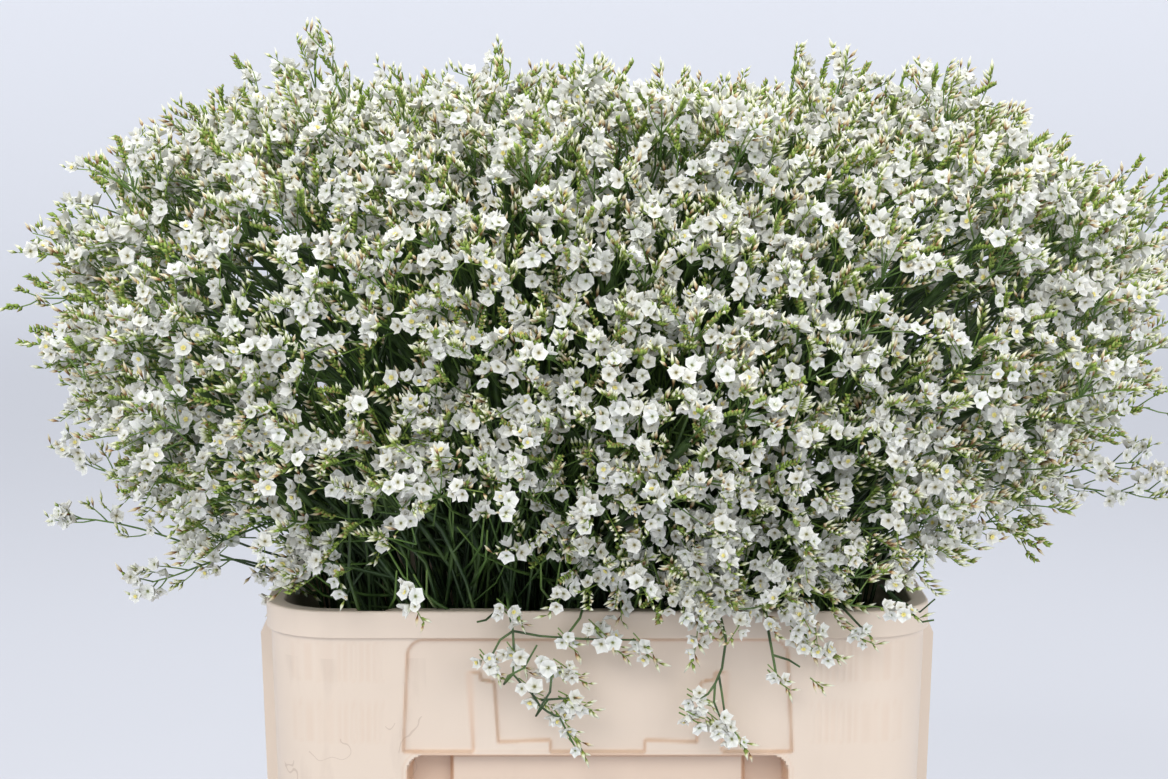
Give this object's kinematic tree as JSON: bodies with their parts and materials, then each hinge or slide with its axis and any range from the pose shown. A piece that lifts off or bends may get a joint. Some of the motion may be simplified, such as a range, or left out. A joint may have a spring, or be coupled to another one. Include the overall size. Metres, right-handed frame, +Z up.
{
  "type": "white statice in a rectangular flower container",
  "caption": "Dome of white statice on green stems, standing in a cream rectangular plastic container with a few sprays hanging over the front rim.",
  "frame": {"origin": "centre of the container's flat base", "axes": "+Z up out of the container, +X along its long side, -Y out of its front wall"},
  "size_m": [0.6799, 0.568, 0.6194],
  "materials": {
    "container_plastic": "moulded cream plastic with a faint peach tone, lightly scuffed",
    "water": "clear still water",
    "stem": "fresh green stems, bracts and bud spikes",
    "floret": "dry papery white calyces, a few with a yellow corolla"
  },
  "bodies": {
    "root": {"container": "container_plastic", "water": "water", "stem_01": "stem", "florets_01": "floret", "stem_02": "stem", "florets_02": "floret", "stem_03": "stem", "florets_03": "floret", "stem_04": "stem", "florets_04": "floret", "stem_05": "stem", "florets_05": "floret", "stem_06": "stem", "florets_06": "floret", "stem_07": "stem", "florets_07": "floret", "stem_08": "stem", "florets_08": "floret", "stem_09": "stem", "florets_09": "floret", "stem_10": "stem", "florets_10": "floret", "stem_11": "stem", "florets_11": "floret", "stem_12": "stem", "florets_12": "floret", "stem_13": "stem", "florets_13": "floret", "stem_14": "stem", "florets_14": "floret", "stem_15": "stem", "florets_15": "floret", "stem_16": "stem", "florets_16": "floret", "stem_17": "stem", "florets_17": "floret", "stem_18": "stem", "florets_18": "floret", "stem_19": "stem", "florets_19": "floret", "stem_20": "stem", "florets_20": "floret", "stem_21": "stem", "florets_21": "floret", "stem_22": "stem", "florets_22": "floret", "stem_23": "stem", "florets_23": "floret", "stem_24": "stem", "florets_24": "floret", "stem_25": "stem", "florets_25": "floret", "stem_26": "stem", "florets_26": "floret", "stem_27": "stem", "florets_27": "floret"}
  },
  "joints": []
}
